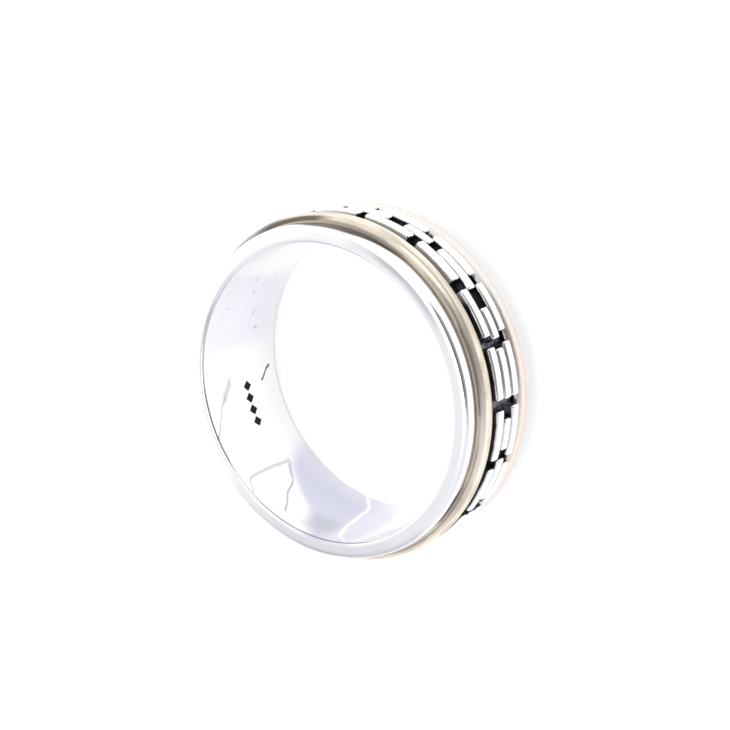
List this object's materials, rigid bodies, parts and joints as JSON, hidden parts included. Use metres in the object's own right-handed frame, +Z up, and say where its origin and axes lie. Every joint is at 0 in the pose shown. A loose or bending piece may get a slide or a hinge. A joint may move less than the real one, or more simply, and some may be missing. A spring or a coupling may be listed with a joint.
{
  "type": "spinner ring",
  "caption": "Silver band ring with a rounded lip at each rim, two domed gold rings and a ring of raised bricks that turn freely in the channel between the lips.",
  "frame": {"origin": "centre of the bore at the lower rim, on the surface that the ring lies on", "axes": "+Z up the axis of the bore; the camera of the picture looks down on it from the -Y side"},
  "size_m": [0.0238, 0.0238, 0.008],
  "materials": {
    "polished_silver": "polished sterling silver with light wear",
    "pale_gold": "polished pale gold with fine turning lines",
    "oxidised_silver": "polished crests over dark oxidised gaps"
  },
  "bodies": {
    "band": {"band": "polished_silver"},
    "spinner_gold_upper": {"spinner_gold_upper": "pale_gold"},
    "spinner_bricks": {"spinner_bricks": "oxidised_silver"},
    "spinner_gold_lower": {"spinner_gold_lower": "pale_gold"}
  },
  "joints": [
    {"name": "gold_upper_turn", "type": "hinge", "parent": "band", "child": "spinner_gold_upper", "pos_m": [0, 0, 0.0062], "axis": [0, 0, 1], "continuous": true},
    {"name": "bricks_turn", "type": "hinge", "parent": "band", "child": "spinner_bricks", "pos_m": [0, 0, 0.004], "axis": [0, 0, 1], "continuous": true},
    {"name": "gold_lower_turn", "type": "hinge", "parent": "band", "child": "spinner_gold_lower", "pos_m": [0, 0, 0.0018], "axis": [0, 0, 1], "continuous": true}
  ]
}
